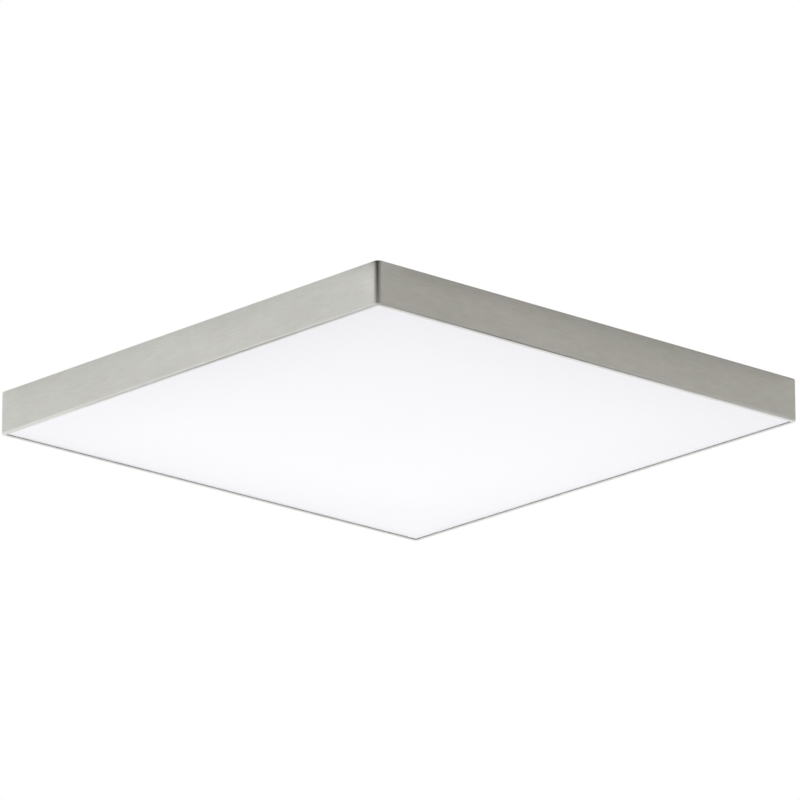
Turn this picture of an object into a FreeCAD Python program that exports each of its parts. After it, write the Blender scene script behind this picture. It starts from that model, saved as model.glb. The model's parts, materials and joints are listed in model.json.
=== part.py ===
import FreeCAD, Part
import math
import os

# A square LED flush mount ceiling light, in mm. The ceiling is the plane z = 0, the light hangs below it,
# and the Z axis runs through the wire entry. A folded steel pan stays on the ceiling with the LED tray and
# the driver. The trim frame carries the diffuser, hangs on four leaf catches and pulls straight down.

V = FreeCAD.Vector
origin = V(0, 0, 0)
down = V(0, 0, -1)
vertical = V(0, 0, 1)
quarter = 90.0
tolerance = 1e-6

# how many flat sides stand for the round of a small piece
small_sides = 8                 # screw, stud or lead
bead_end_sides = 4              # each end of a pressed rib
lens_sides = 12

# driving sizes
side = 610.0                    # outer side of the square trim frame
frame_height = 48.0             # height of the frame's walls, bottom bend included
ceiling_gap = 0.6               # from the ceiling to the frame's top edge
lip_width = 5.0                 # from the frame's outer face to the lip's inner edge
frame_sheet = 1.0               # stainless steel of the frame
bend_outside = 6.0              # outside radius of the frame's upright corners
bottom_bend = 2.0               # outside radius of its bottom bend
hem_height = 6.0                # flattened hem along the frame's top edge
diffuser_thick = 3.0
pan_side = 598.0
pan_depth = 28.0
pan_sheet = 0.8
tray_top = -23.0                # upper face of the LED tray
led_pitch = 86.0                # between LED boards, and between the LEDs on a board
led_count = 7                   # boards, and LEDs on each board

# levels and faces that follow from them
half = side / 2
frame_top = -ceiling_gap
frame_bottom = frame_top - frame_height
lip_top = frame_bottom + frame_sheet
wall_inner = half - frame_sheet
hem_inner = wall_inner - frame_sheet
hem_bottom = frame_top - hem_height
window_half = half - lip_width
pan_half = pan_side / 2
board_rows = [led_pitch * (i - (led_count - 1) / 2) for i in range(led_count)]

# ceiling pan
pan_bend = 1.6                  # outside radius of the pan's bends
pan_notch = 3.0                 # corner notch of the pan's blank
box_screw_spacing = 79.4        # middle of the two screw spacings of ceiling boxes
box_slot_length = 24.0
box_slot_width = 4.8
anchor_spacing = 500.0
anchor_hole = 5.0
entry_hole = 22.0
entry_bore = 16.0
bushing_flange = 27.0
bushing_flange_thick = 1.5
rib_places = (-175.0, -60.0, 60.0, 175.0)
rib_length = 440.0
rib_width = 14.0
rib_depth = 2.2
rib_slope = 2.0                 # how far a rib's side runs in from mouth to floor
stud_diameter = 4.0
stud_length = 7.0

# tray rails, tray and its screws
rail_x = 215.0
rail_length = 540.0
rail_sheet = 1.0
rail_flange = 13.0
rail_bend = 1.5                 # bend radius along the middle of the sheet
tray_sheet = 1.0
tray_flat_half = 287.0
tray_rim_half = 296.0
tray_rim_drop = 9.0
tray_screw_x = 222.0
tray_screw_y = 180.0
screw_diameter = 4.0
screw_head = 8.0
screw_head_height = 2.4

# LED boards
board_width = 18.0
board_length = 548.0
board_thick = 1.0
package_side = 3.0
package_height = 0.7
lens_base = 15.0
lens_top = 10.6
lens_height = 5.0
lens_pocket = 4.4
lens_pocket_depth = 1.3
bus_width = 10.0
bus_length = 536.0
bus_gap = 2.0
bridge_size = (10.0, 8.0, 3.0)
feed_size = (14.0, 7.6, 7.0)

# driver
driver_x = 129.0
driver_width = 38.0
driver_length = 170.0
driver_height = 19.6
driver_sheet = 0.8
driver_bend = 1.6
driver_ear = 18.0
driver_ear_chamfer = 6.0
driver_lead_offset = 4.0
driver_lead_z = -13.0
relief_size = (14.0, 8.0)       # neck of a lead bushing in the driver's end wall
relief_flange = 1.2
driver_board_drop = 2.4         # from the driver's base to its board
driver_board_thick = 1.6
driver_board_ends = 3.2         # from each end of the board to the end of the case
transformer_y = -6.0
core_size = (13.0, 25.0, 12.4)
winding_size = (23.0, 15.0, 9.2)
round_capacitors = ((-9.0, 22.0, 10.0, 12.0), (9.0, 46.0, 12.0, 13.0))  # x, y, diameter, height
film_capacitor = (6.0, -40.0)   # x and y, from the driver's middle as above
film_size = (8.0, 16.0, 9.0)

# supply terminal block
block_y = -165.0
block_size = (32.0, 24.0, 14.0)
pole_pitch = 9.5
chamber = (7.0, 14.0)
chamber_roof = -3.8
chamber_floor = -12.2
wire_z = -6.5
supply_funnel = 5.4             # square mouth of a supply hole
supply_hole = 3.0
button_stem = (5.0, 5.2)
button_flange = (6.4, 6.2)
button_flange_thick = 1.4
button_mouth_gap = 0.3
button_proud = 1.2
button_play = 0.2
clamp_thick = 0.8
clamp_fold = 4.0                # how far a clamp's ends fold in and down
clamp_end_gap = 1.0             # from a clamp to the chamber's end walls

# leads and their ends
lead_diameter = 2.0
lead_play = 0.05                # clearance round a lead in a bushing or connector
lead_in_block = 6.4             # how far a lead's end reaches into the terminal block
lead_in_driver = 3.0
lead_in_barrel = 6.0
lead_in_connector = 1.8
lead_from_block = 10.0          # straight run out of the block
lead_to_driver = 20.0           # straight run into the driver
lead_from_driver = 15.0
lead_slope_end = 55.0           # from the driver's end to where an output lead lies on the tray
supply_lead_bend = 30.0
output_lead_bend = 40.0
ground_lead_bend = 8.0
ground_lead_turns = (17.0, 5.0)  # from the lug's barrel back to the two turns of its lead
ground_stud = (150.0, -115.0)
nut_across = 7.0
nut_height = 3.2
lug_side = 9.0
lug_chamfer = 2.0
lug_thick = 0.8
barrel_size = (4.0, 8.0, 4.0)

# leaf catches and diffuser clips
catch_thick = 0.4
catch_width = 40.0
catch_foot = -26.5              # lower end of the leaf
catch_root = -17.0              # where the leaf leaves the pan's wall
catch_apex_gap = 0.75           # from the bow's middle line to the frame's wall
catch_apex_drop = 1.1           # from the hem down to the bow
catch_tip = (0.7, 2.0)          # leaf's end: out from its root, and up from the hem's edge
catch_bends = (4.0, 1.2)
clip_thick = 0.5
clip_width = 14.0
clip_place = 190.0
clip_bow = 2.1                  # how far the leaf bows in from the frame's wall
clip_top = (0.3, 0.05)          # leaf's top: in from the wall, and down from the hem's edge
clip_heel_gap = 0.4
clip_toe = 0.4                  # from the lip's inner edge to the clip's toe
clip_bends = (30.0, 0.8)

# frame details
brace_leg = 27.0
brace_height = 22.0
brace_sheet = 1.0
brace_bend = 4.8                # a little more than the frame's corner, so that the brace seats on its walls
brace_top = -12.0
seal_thick = 0.4
seal_inset = 0.6                # from the lip's inner edge to the seal
diffuser_half = 302.5
diffuser_chamfer = 3.0          # the panel's clipped corners clear the frame's bends


def prism(x0, x1, y0, y1, z0, z1):
    # a box between two corners
    return Part.makeBox(x1 - x0, y1 - y0, z1 - z0, V(x0, y0, z0))


def square_prism(half_side, z0, z1):
    return prism(-half_side, half_side, -half_side, half_side, z0, z1)


def lead_hole(x, y0, y1, z):
    # a square hole along Y for one lead
    reach = lead_diameter / 2 + lead_play
    return prism(x - reach, x + reach, y0, y1, z - reach, z + reach)


def centred_box(x, y, z0, z1, width, length):
    return prism(x - width / 2, x + width / 2, y - length / 2, y + length / 2, z0, z1)


def peg(x, y, z0, z1, diameter):
    # an upright cylinder
    return Part.makeCylinder(diameter / 2, z1 - z0, V(x, y, z0))


def circle_points(x, y, z, diameter, count):
    turns = [2 * math.pi * (i + 0.5) / count for i in range(count)]
    return [V(x + diameter / 2 * math.cos(t), y + diameter / 2 * math.sin(t), z) for t in turns]


def frustum(low, high):
    # a solid of flat faces between two outlines whose sides are parallel
    faces = [Part.Face(Part.makePolygon(points + points[:1])) for points in (low, high)]
    for i in range(len(low)):
        j = (i + 1) % len(low)
        faces.append(Part.Face(Part.makePolygon([low[i], low[j], high[j], high[i], low[i]])))
    return Part.makeSolid(Part.makeShell(faces))


def small_peg(x, y, z0, z1, diameter):
    # small screws and studs are many, so each is drawn with eight sides
    low = circle_points(x, y, z0, diameter, small_sides)
    high = circle_points(x, y, z1, diameter, small_sides)
    return frustum(low, high)


def rounded_edges(points, radii, closed):
    # straight runs through the points, with a tangent arc of the given radius at each inner point
    edges = []
    count = len(points)
    first = 0 if closed else 1
    last = count if closed else count - 1
    corners = {}
    for i in range(first, last):
        here = points[i]
        to_before = (points[i - 1] - here).normalize()
        to_after = (points[(i + 1) % count] - here).normalize()
        half_angle = to_before.getAngle(to_after) / 2
        radius = radii[i]
        if radius == 0:
            corners[i] = (here, None, here)
            continue
        reach = radius / math.tan(half_angle)
        inwards = (to_before + to_after).normalize()
        centre = here + inwards * (radius / math.sin(half_angle))
        corners[i] = (here + to_before * reach, centre - inwards * radius, here + to_after * reach)
    for i in range(count if closed else count - 1):
        j = (i + 1) % count
        start = corners[i][2] if i in corners else points[i]
        end = corners[j][0] if j in corners else points[j]
        edges.append(Part.LineSegment(start, end).toShape())
        if j in corners and corners[j][1] is not None:
            edges.append(Part.Arc(*corners[j]).toShape())
    return edges


def rounded_wire(points, radii, closed):
    return Part.Wire(rounded_edges(points, radii, closed))


def square(half_side, z):
    return [V(x * half_side, y * half_side, z) for x, y in ((1, 1), (-1, 1), (-1, -1), (1, -1))]


def rounded_prism(half_side, radius, z0, z1):
    # an upright square prism with rounded corners
    corners = square(half_side, z0)
    return Part.Face(rounded_wire(corners, [radius] * len(corners), True)).extrude(V(0, 0, z1 - z0))


def moved_aside(points, distance):
    # a flat line of (a, b) pairs, moved sideways by a distance, with mitred corners
    normals = []
    for (a0, b0), (a1, b1) in zip(points, points[1:]):
        length = math.hypot(a1 - a0, b1 - b0)
        normals.append(((b0 - b1) / length, (a1 - a0) / length))
    moved = []
    for i, (a, b) in enumerate(points):
        before = normals[max(i - 1, 0)]
        after = normals[min(i, len(normals) - 1)]
        scale = distance / (1 + before[0] * after[0] + before[1] * after[1])
        moved.append((a + (before[0] + after[0]) * scale, b + (before[1] + after[1]) * scale))
    return moved


def turns_left(before, here, after):
    return (here[0] - before[0]) * (after[1] - here[1]) > (here[1] - before[1]) * (after[0] - here[0])


def bent_strip(points, thick, radii, to_space, width):
    # sheet metal bent along a flat line: points are its middle, radii the bends along that middle
    left = moved_aside(points, thick / 2)
    right = moved_aside(points, -thick / 2)
    left_radii = [0.0]
    right_radii = [0.0]
    for i in range(1, len(points) - 1):
        change = -thick / 2 if turns_left(points[i - 1], points[i], points[i + 1]) else thick / 2
        left_radii.append(radii[i - 1] + change)
        right_radii.append(radii[i - 1] - change)
    left_radii.append(0.0)
    right_radii.append(0.0)
    outline = [to_space(a, b) for a, b in left + right[::-1]]
    wire = rounded_wire(outline, left_radii + right_radii[::-1], True)
    return Part.Face(wire).extrude(width)


def on_side(shape, number):
    # a shape made for the +X side, turned to side 0 to 3
    return shape.rotated(origin, vertical, quarter * number)


def slot(x, y, length, width, z0, z1):
    # an upright slot along Y, its length measured end to end
    straight = (length - width) / 2
    middle = centred_box(x, y, z0, z1, width, 2 * straight)
    return middle.fuse([peg(x, y - straight, z0, z1, width), peg(x, y + straight, z0, z1, width)])


def bead_outline(x, z, length, width):
    # a long outline along Y with round ends, each end drawn with four sides
    straight = (length - width) / 2
    turns = [math.pi * i / bead_end_sides for i in range(bead_end_sides + 1)]
    far = [V(x + width / 2 * math.cos(t), straight + width / 2 * math.sin(t), z) for t in turns]
    near = [V(x - width / 2 * math.cos(t), -straight - width / 2 * math.sin(t), z) for t in turns]
    return far + near


def pressed_rib(x, z, length, width):
    # a bead with sloping sides, from its mouth at z down to its floor
    mouth = bead_outline(x, z, length, width)
    floor = bead_outline(x, z - rib_depth, length - 2 * rib_slope, width - 2 * rib_slope)
    return frustum(floor, mouth)


def edges_at(shape, z):
    # the edges that lie flat at one level
    return [e for e in shape.Edges
            if abs(e.BoundBox.ZMin - z) < tolerance and abs(e.BoundBox.ZMax - z) < tolerance]


def upright_edges(plate, thick):
    return [e for e in plate.Edges if abs(e.BoundBox.ZLength - thick) < tolerance]


def ceiling_pan():
    outer = square_prism(pan_half, -pan_depth, 0)
    outer = outer.makeFillet(pan_bend, edges_at(outer, 0))
    inner_half = pan_half - pan_sheet
    inner = square_prism(inner_half, -pan_depth, -pan_sheet)
    inner = inner.makeFillet(pan_bend - pan_sheet, edges_at(inner, -pan_sheet))
    pan = outer.cut(inner)
    notches = []
    for x in (-pan_half, pan_half - pan_notch):
        for y in (-pan_half, pan_half - pan_notch):
            notches.append(prism(x, x + pan_notch, y, y + pan_notch, -pan_depth, 0))
    holes = [peg(0, 0, -pan_sheet, 0, entry_hole)]
    for sign in (-1, 1):
        holes.append(slot(0, sign * box_screw_spacing / 2, box_slot_length, box_slot_width, -pan_sheet, 0))
    for x in (-anchor_spacing / 2, anchor_spacing / 2):
        for y in (-anchor_spacing / 2, anchor_spacing / 2):
            holes.append(peg(x, y, -pan_sheet, 0, anchor_hole))
    beads = [pressed_rib(x, -pan_sheet, rib_length, rib_width) for x in rib_places]
    grooves = [pressed_rib(x, 0, rib_length - pan_sheet, rib_width - pan_sheet) for x in rib_places]
    studs = [small_peg(x, y, -pan_sheet - stud_length, -pan_sheet, stud_diameter) for x, y in stud_places()]
    return pan.cut(notches + holes).fuse(beads + studs).cut(grooves)


def stud_places():
    # two studs for the driver and one for the ground lead
    ear = driver_length / 2 + driver_ear / 2
    return ((driver_x, -ear), (driver_x, ear), ground_stud)


def stud_nuts():
    nuts = []
    for (x, y), seat in zip(stud_places(), (driver_sheet, driver_sheet, lug_thick)):
        z = -pan_sheet - seat
        corners = 2 * nut_across / math.sqrt(3)
        nut = frustum(circle_points(x, y, z - nut_height, corners, 6), circle_points(x, y, z, corners, 6))
        nuts.append(nut.cut(small_peg(x, y, z - nut_height, z, stud_diameter)))
    return nuts


def wire_bushing():
    # the ring that lines the pan's wire entry
    neck = peg(0, 0, -pan_sheet, 0, entry_hole)
    flange = peg(0, 0, -pan_sheet - bushing_flange_thick, -pan_sheet, bushing_flange)
    bore = peg(0, 0, -pan_sheet - bushing_flange_thick, 0, entry_bore)
    return neck.fuse(flange).cut(bore)


def tray_rail(sign):
    top = -pan_sheet - rail_sheet / 2
    bottom = tray_top + rail_sheet / 2
    line = [(rail_x - rail_flange, top), (rail_x, top), (rail_x, bottom), (rail_x + rail_flange, bottom)]
    rail = bent_strip(line, rail_sheet, (rail_bend, rail_bend),
                      lambda a, b: V(a, -rail_length / 2, b), V(0, rail_length, 0))
    for y in (-tray_screw_y, tray_screw_y):
        rail = rail.cut(small_peg(tray_screw_x, y, tray_top, tray_top + rail_sheet, screw_diameter))
    return rail if sign > 0 else rail.mirror(origin, V(1, 0, 0))


def led_tray():
    # a flat sheet with a rim that slopes down and out towards the diffuser's edge
    rim_bottom = tray_top - tray_rim_drop
    under = tray_top - tray_sheet
    outer = frustum(square(tray_rim_half, rim_bottom), square(tray_flat_half, tray_top))
    inner = frustum(square(tray_rim_half - tray_sheet, rim_bottom),
                    square(tray_flat_half - tray_sheet, under))
    holes = [small_peg(x, y, under, tray_top, screw_diameter) for x, y in tray_screw_places()]
    window = centred_box(driver_x, bus_y(), under, tray_top, feed_size[0], feed_size[1])
    return outer.cut([inner, window] + holes)


def tray_screw_places():
    return [(x, y) for x in (-tray_screw_x, tray_screw_x) for y in (-tray_screw_y, tray_screw_y)]


def tray_screws():
    # hexagon heads under the tray, shanks up through the rails' flanges
    screws = []
    under = tray_top - tray_sheet
    for x, y in tray_screw_places():
        head = frustum(circle_points(x, y, under - screw_head_height, screw_head, 6),
                       circle_points(x, y, under, screw_head, 6))
        screws.append(head.fuse(small_peg(x, y, under, tray_top + 2 * rail_sheet, screw_diameter)))
    return screws


def led_board(x):
    top = tray_top - tray_sheet
    return centred_box(x, 0, top - board_thick, top, board_width, board_length)


def led_packages():
    face = tray_top - tray_sheet - board_thick
    return [centred_box(x, y, face - package_height, face, package_side, package_side)
            for x in board_rows for y in board_rows]


def led_lens(x, y):
    # a low cone, drawn with twelve sides, with a pocket that sits over the LED
    face = tray_top - tray_sheet - board_thick
    body = frustum(circle_points(x, y, face - lens_height, lens_top, lens_sides),
                   circle_points(x, y, face, lens_base, lens_sides))
    return body.cut(centred_box(x, y, face - lens_pocket_depth, face, lens_pocket, lens_pocket))


def led_lenses():
    return [led_lens(x, y) for x in board_rows for y in board_rows]


def bus_y():
    return board_length / 2 + bus_gap + bus_width / 2


def bus_board():
    top = tray_top - tray_sheet
    return centred_box(0, bus_y(), top - board_thick, top, bus_length, bus_width)


def bridge_connectors():
    width, length, height = bridge_size
    face = tray_top - tray_sheet - board_thick
    y = board_length / 2 + bus_gap / 2
    return [centred_box(x, y, face - height, face, width, length) for x in board_rows]


def feed_connector():
    # stands on the bus board's upper face and rises through the tray's window
    width, length, height = feed_size
    foot = tray_top - tray_sheet
    body = centred_box(driver_x, bus_y(), foot, foot + height, width, length)
    mouth = bus_y() - length / 2
    return body.cut([lead_hole(x, mouth, mouth + length / 2, tray_lead_z()) for x in driver_lead_places()])


def tray_lead_z():
    # the middle of a lead that lies on the tray
    return tray_top + lead_diameter / 2


def driver_lead_places():
    return (driver_x - driver_lead_offset, driver_x + driver_lead_offset)


def driver_base():
    length = driver_length + 2 * driver_ear
    plate = centred_box(driver_x, 0, -pan_sheet - driver_sheet, -pan_sheet, driver_width, length)
    plate = plate.makeChamfer(driver_ear_chamfer, upright_edges(plate, driver_sheet))
    return plate.cut([small_peg(x, y, -pan_sheet - driver_sheet, -pan_sheet, stud_diameter)
                      for x, y in stud_places()[:2]])


def driver_case():
    top = -pan_sheet - driver_sheet
    outer = centred_box(driver_x, 0, top - driver_height, top, driver_width, driver_length)
    outer = outer.makeFillet(driver_bend, edges_at(outer, top - driver_height))
    inner = centred_box(driver_x, 0, top - driver_height + driver_sheet, top,
                        driver_width - 2 * driver_sheet, driver_length - 2 * driver_sheet)
    case = outer.cut(inner)
    doors = centred_box(driver_x, 0, driver_lead_z - relief_size[1] / 2, driver_lead_z + relief_size[1] / 2,
                        relief_size[0], driver_length)
    return case.cut(doors)


def driver_board_top():
    return -pan_sheet - driver_sheet - driver_board_drop


def driver_board():
    top = driver_board_top()
    return centred_box(driver_x, 0, top - driver_board_thick, top, driver_width - 2 * driver_sheet,
                       driver_length - 2 * driver_board_ends)


def hung_box(x, y, z, size):
    # a box of the given width, length and height whose upper face is at z
    return centred_box(x, y, z - size[2], z, size[0], size[1])


def driver_transformer():
    z = driver_board_top() - driver_board_thick
    core = hung_box(driver_x, transformer_y, z, core_size)
    sunk = (core_size[2] - winding_size[2]) / 2
    return core.fuse(hung_box(driver_x, transformer_y, z - sunk, winding_size))


def driver_capacitors():
    z = driver_board_top() - driver_board_thick
    cans = [peg(driver_x + x, y, z - height, z, diameter) for x, y, diameter, height in round_capacitors]
    return cans + [hung_box(driver_x + film_capacitor[0], film_capacitor[1], z, film_size)]


def driver_bushing(sign):
    # a flanged block in one end wall of the driver, with a hole for each lead
    width, height = relief_size
    wall = sign * driver_length / 2
    inner = wall - sign * driver_sheet
    outer = wall + sign * relief_flange
    low = driver_lead_z - height / 2
    neck = prism(driver_x - width / 2, driver_x + width / 2,
                 min(inner, wall), max(inner, wall), low, low + height)
    flange = prism(driver_x - width / 2 - relief_flange, driver_x + width / 2 + relief_flange,
                   min(wall, outer), max(wall, outer), low - relief_flange, low + height + relief_flange)
    holes = [lead_hole(x, min(inner, outer), max(inner, outer), driver_lead_z) for x in driver_lead_places()]
    return neck.fuse(flange).cut(holes)


def pole_places():
    return [driver_x + pole_pitch * i for i in (-1, 0, 1)]


def terminal_body():
    width, length, height = block_size
    top = -pan_sheet
    body = centred_box(driver_x, block_y, top - height, top, width, length)
    supply_face = block_y - length / 2
    lead_face = block_y + length / 2
    throat = (length - chamber[1]) / 2
    cuts = []
    for x in pole_places():
        cuts.append(centred_box(x, block_y, chamber_floor, chamber_roof, chamber[0], chamber[1]))
        cuts.append(centred_box(x, block_y, top - height, chamber_floor,
                                button_stem[0] + 2 * button_mouth_gap, button_stem[1] + 2 * button_mouth_gap))
        cuts.append(supply_mouth(x, supply_face, supply_face + throat))
        cuts.append(lead_hole(x, lead_face - throat, lead_face, wire_z))
    return body.cut(cuts)


def supply_mouth(x, y0, y1):
    # a square funnel that guides a supply wire into its clamp
    mouth = [V(x + p.x, y0, wire_z - p.y) for p in square(supply_funnel / 2, 0)]
    throat = [V(x + p.x, y1, wire_z - p.y) for p in square(supply_hole / 2, 0)]
    return frustum(mouth, throat)


def terminal_clamps():
    # a spring strip in each pole, folded in at both ends to bite on the wires
    reach = chamber[1] / 2 - clamp_end_gap
    roof = chamber_roof - clamp_thick / 2
    line = [(block_y - reach + clamp_fold, roof - clamp_fold), (block_y - reach, roof),
            (block_y + reach, roof), (block_y + reach - clamp_fold, roof - clamp_fold)]
    strips = []
    for x in pole_places():
        strips.append(bent_strip(line, clamp_thick, (clamp_thick / 2, clamp_thick / 2),
                                 lambda a, b: V(x - button_stem[0] / 2, a, b), V(button_stem[0], 0, 0)))
    return strips


def release_button(x):
    # its shoulder is wider than the block's mouth, so it stays in the block
    shoulder_bottom = chamber_floor + button_play
    block_bottom = -pan_sheet - block_size[2]
    shoulder = centred_box(x, block_y, shoulder_bottom, shoulder_bottom + button_flange_thick,
                           button_flange[0], button_flange[1])
    stem = centred_box(x, block_y, block_bottom - button_proud, shoulder_bottom,
                       button_stem[0], button_stem[1])
    return shoulder.fuse(stem)


def ground_lug():
    # a flat tab under the ground nut, with a crimp barrel for the lead
    x, y = ground_stud
    z = -pan_sheet
    width, length, height = barrel_size
    near = y - lug_side / 2
    tab = centred_box(x, y, z - lug_thick, z, lug_side, lug_side)
    tab = tab.makeChamfer(lug_chamfer, upright_edges(tab, lug_thick))
    barrel = prism(x - width / 2, x + width / 2, near - length, near, z - height, z)
    cuts = [lead_hole(x, near - length, near, z - height / 2),
            small_peg(x, y, z - lug_thick, z, stud_diameter)]
    return tab.fuse(barrel).cut(cuts)


def lead(points, radius):
    # a lead along straight runs with two tangent arcs, drawn with eight sides; its first run is along Y
    path = rounded_wire([V(*p) for p in points], (0.0, radius, radius, 0.0), False)
    x, y, z = points[0]
    ring = [V(x + p.x, y, z + p.y) for p in circle_points(0, 0, 0, lead_diameter, small_sides)]
    return path.makePipeShell([Part.makePolygon(ring + ring[:1])], True, False)


def block_face():
    # the terminal block's face that the leads enter
    return block_y + block_size[1] / 2


def supply_lead(x_block, x_driver):
    # from a pole of the terminal block to the driver's near end
    driver_end = -driver_length / 2
    points = [(x_block, block_face() - lead_in_block, wire_z),
              (x_block, block_face() + lead_from_block, wire_z),
              (x_driver, driver_end - lead_to_driver, driver_lead_z),
              (x_driver, driver_end + lead_in_driver, driver_lead_z)]
    return lead(points, supply_lead_bend)


def ground_lead():
    # from the last pole to the lug on the ground stud
    x, y = ground_stud
    x_block = pole_places()[-1]
    mouth = y - lug_side / 2 - barrel_size[1]
    z = -pan_sheet - barrel_size[2] / 2
    points = [(x_block, block_face() - lead_in_block, wire_z),
              (x_block, mouth - ground_lead_turns[0], wire_z),
              (x, mouth - ground_lead_turns[1], z),
              (x, mouth + lead_in_barrel, z)]
    return lead(points, ground_lead_bend)


def output_lead(x):
    # from the driver's far end down to the tray, and along it to the feed connector
    driver_end = driver_length / 2
    points = [(x, driver_end - lead_in_driver, driver_lead_z),
              (x, driver_end + lead_from_driver, driver_lead_z),
              (x, driver_end + lead_slope_end, tray_lead_z()),
              (x, bus_y() - feed_size[1] / 2 + lead_in_connector, tray_lead_z())]
    return lead(points, output_lead_bend)


def catch_spring():
    # a leaf on the pan's wall; its bow stands out just under the frame's hem
    flat = pan_half + catch_thick / 2
    apex = (wall_inner - catch_apex_gap, hem_bottom - catch_apex_drop)
    tip = (flat + catch_tip[0], hem_bottom + catch_tip[1])
    return bent_strip([(flat, catch_foot), (flat, catch_root), apex, tip], catch_thick, catch_bends,
                      lambda a, b: V(a, -catch_width / 2, b), V(0, catch_width, 0))


def trim_frame():
    # one folded band: walls, bottom lip and flattened top hem
    outer = rounded_prism(half, bend_outside, frame_bottom, frame_top)
    outer = outer.makeFillet(bottom_bend, edges_at(outer, frame_bottom))
    inner = rounded_prism(wall_inner, bend_outside - frame_sheet, lip_top, frame_top)
    window = square_prism(window_half, frame_bottom, lip_top)
    hem_outer = rounded_prism(wall_inner, bend_outside - frame_sheet, hem_bottom, frame_top)
    hem_hole = rounded_prism(hem_inner, bend_outside - 2 * frame_sheet, hem_bottom, frame_top)
    return outer.cut([inner, window]).fuse(hem_outer.cut(hem_hole)).removeSplitter()


def corner_brace(number):
    # an angle spot-welded inside a corner of the frame
    face = wall_inner - brace_sheet / 2
    line = [(face, face - brace_leg), (face, face), (face - brace_leg, face)]
    brace = bent_strip(line, brace_sheet, (brace_bend,), lambda a, b: V(a, b, brace_top), down * brace_height)
    return on_side(brace, number)


def diffuser_bottom():
    return lip_top + seal_thick


def clipped_prism(z0, z1):
    # the outline of the diffuser and its seal, with clipped corners
    plate = square_prism(diffuser_half, z0, z1)
    return plate.makeChamfer(diffuser_chamfer, upright_edges(plate, z1 - z0))


def diffuser_panel():
    return clipped_prism(diffuser_bottom(), diffuser_bottom() + diffuser_thick)


def diffuser_seal():
    outer = clipped_prism(lip_top, diffuser_bottom())
    return outer.cut(square_prism(window_half + seal_inset, lip_top, diffuser_bottom()))


def diffuser_clip(number):
    # a bowed leaf propped between the hem and the diffuser, two on each side
    foot = diffuser_bottom() + diffuser_thick + clip_thick / 2
    line = [(wall_inner - clip_top[0], hem_bottom - clip_top[1]),
            (wall_inner - clip_bow, (hem_bottom + foot) / 2),
            (wall_inner - clip_heel_gap, foot),
            (window_half + clip_toe, foot)]
    y = clip_place if number % 2 else -clip_place
    clip = bent_strip(line, clip_thick, clip_bends,
                      lambda a, b: V(a, y - clip_width / 2, b), V(0, clip_width, 0))
    return on_side(clip, number // 2)


def save(name, shapes):
    solids = []
    for shape in shapes if isinstance(shapes, list) else [shapes]:
        solids.extend(shape.Solids)
    bodies = Part.makeCompound(solids) if len(solids) > 1 else solids[0]
    bodies.exportStep(os.path.join("parts", name + ".step"))


os.makedirs("parts", exist_ok=True)

save("ceiling_pan", ceiling_pan())
save("stud_nuts", stud_nuts())
save("tray_rail_1", tray_rail(-1))
save("tray_rail_2", tray_rail(1))
save("led_tray", led_tray())
save("tray_screws", tray_screws())
for number, x in enumerate(board_rows, 1):
    save("led_board_%d" % number, led_board(x))
save("led_packages", led_packages())
save("led_lenses", led_lenses())
save("bus_board", bus_board())
save("bridge_connectors", bridge_connectors())
save("feed_connector", feed_connector())
save("driver_base", driver_base())
save("driver_case", driver_case())
save("driver_board", driver_board())
save("driver_transformer", driver_transformer())
save("driver_capacitors", driver_capacitors())
save("lead_bushings", [wire_bushing(), driver_bushing(-1), driver_bushing(1)])
save("terminal_body", terminal_body())
save("terminal_clamps", terminal_clamps())
for number, x in enumerate(pole_places(), 1):
    save("release_button_%d" % number, release_button(x))
save("ground_lug", ground_lug())
save("line_lead", supply_lead(pole_places()[0], driver_x - driver_lead_offset))
save("neutral_lead", supply_lead(pole_places()[1], driver_x + driver_lead_offset))
save("ground_lead", ground_lead())
save("dc_plus_lead", output_lead(driver_x - driver_lead_offset))
save("dc_minus_lead", output_lead(driver_x + driver_lead_offset))
for number in range(4):
    save("catch_spring_%d" % (number + 1), on_side(catch_spring(), number))
    save("corner_brace_%d" % (number + 1), corner_brace(number))
save("trim_frame", trim_frame())
save("diffuser_panel", diffuser_panel())
save("diffuser_seal", diffuser_seal())
for number in range(8):
    save("diffuser_clip_%d" % (number + 1), diffuser_clip(number))
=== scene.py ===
import bpy
import bmesh
import json
import math
from mathutils import Matrix, Vector


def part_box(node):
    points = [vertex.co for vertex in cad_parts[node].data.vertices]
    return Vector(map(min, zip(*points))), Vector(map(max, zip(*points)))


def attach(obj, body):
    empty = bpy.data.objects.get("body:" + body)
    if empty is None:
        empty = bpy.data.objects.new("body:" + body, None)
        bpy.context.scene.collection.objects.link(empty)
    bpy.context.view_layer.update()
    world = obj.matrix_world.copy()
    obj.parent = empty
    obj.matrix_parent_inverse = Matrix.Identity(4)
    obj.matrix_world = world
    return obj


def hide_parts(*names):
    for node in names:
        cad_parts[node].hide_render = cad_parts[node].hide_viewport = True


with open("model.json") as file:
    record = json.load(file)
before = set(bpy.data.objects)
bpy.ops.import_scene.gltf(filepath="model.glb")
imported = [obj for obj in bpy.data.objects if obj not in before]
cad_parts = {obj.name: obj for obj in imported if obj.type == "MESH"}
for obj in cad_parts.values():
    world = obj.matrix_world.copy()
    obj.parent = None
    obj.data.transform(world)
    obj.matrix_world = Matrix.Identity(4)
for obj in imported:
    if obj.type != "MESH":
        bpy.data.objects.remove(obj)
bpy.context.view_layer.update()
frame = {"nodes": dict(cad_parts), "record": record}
cadNodes = frame["nodes"]
slotOf = {row["node"]: row["material_slot"] for row in frame["record"]["subparts"]}
bodyOf = {node: body for body, nodes in frame["record"]["behaviour"]["bodies"].items() for node in nodes}
mm = 0.001
tiny = 1e-7
frameLow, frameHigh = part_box("trim_frame")
print("frame loaded,", len(cadNodes), "nodes")


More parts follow.
